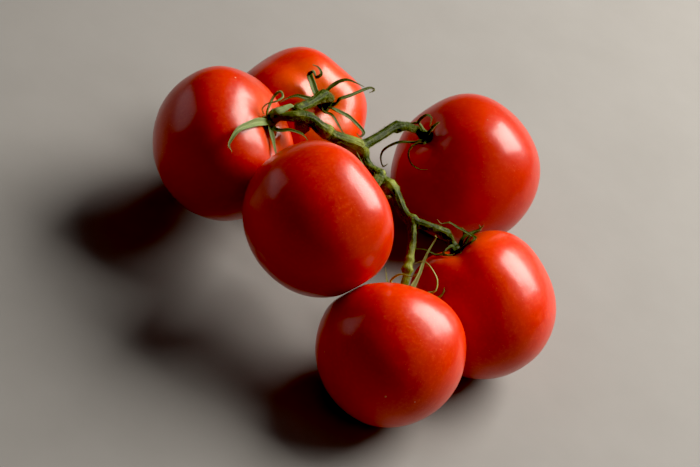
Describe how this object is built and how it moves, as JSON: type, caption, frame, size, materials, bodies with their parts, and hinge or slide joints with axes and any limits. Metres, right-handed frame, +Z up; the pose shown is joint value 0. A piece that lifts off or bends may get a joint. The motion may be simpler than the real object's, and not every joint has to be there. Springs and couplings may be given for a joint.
{
  "type": "truss of tomatoes",
  "caption": "Truss of ripe red tomatoes on one branching green stem, each with a curling calyx, lying as it was cut.",
  "frame": {"origin": "on the surface that the bunch lies on, under the middle of its box", "axes": "+Z up from the surface; -Y is the side nearest the viewer of the picture, who looks down along +Y"},
  "size_m": [0.1972, 0.1947, 0.0934],
  "materials": {
    "tomato_skin": "smooth, glossy, thin waxy skin, deep red with an orange flush and fine pale speckles",
    "stem_green": "matt, finely haired, mid green with yellower swellings",
    "sepal_green": "matt, finely haired grey-green blades with dry brown tips"
  },
  "bodies": {
    "root": {"stem": "stem_green", "calyx_1": "sepal_green", "calyx_2": "sepal_green", "calyx_3": "sepal_green", "calyx_4": "sepal_green", "calyx_5": "sepal_green", "calyx_6": "sepal_green", "tomato_1": "tomato_skin", "tomato_2": "tomato_skin", "tomato_3": "tomato_skin", "tomato_4": "tomato_skin", "tomato_5": "tomato_skin", "tomato_6": "tomato_skin"}
  },
  "joints": []
}
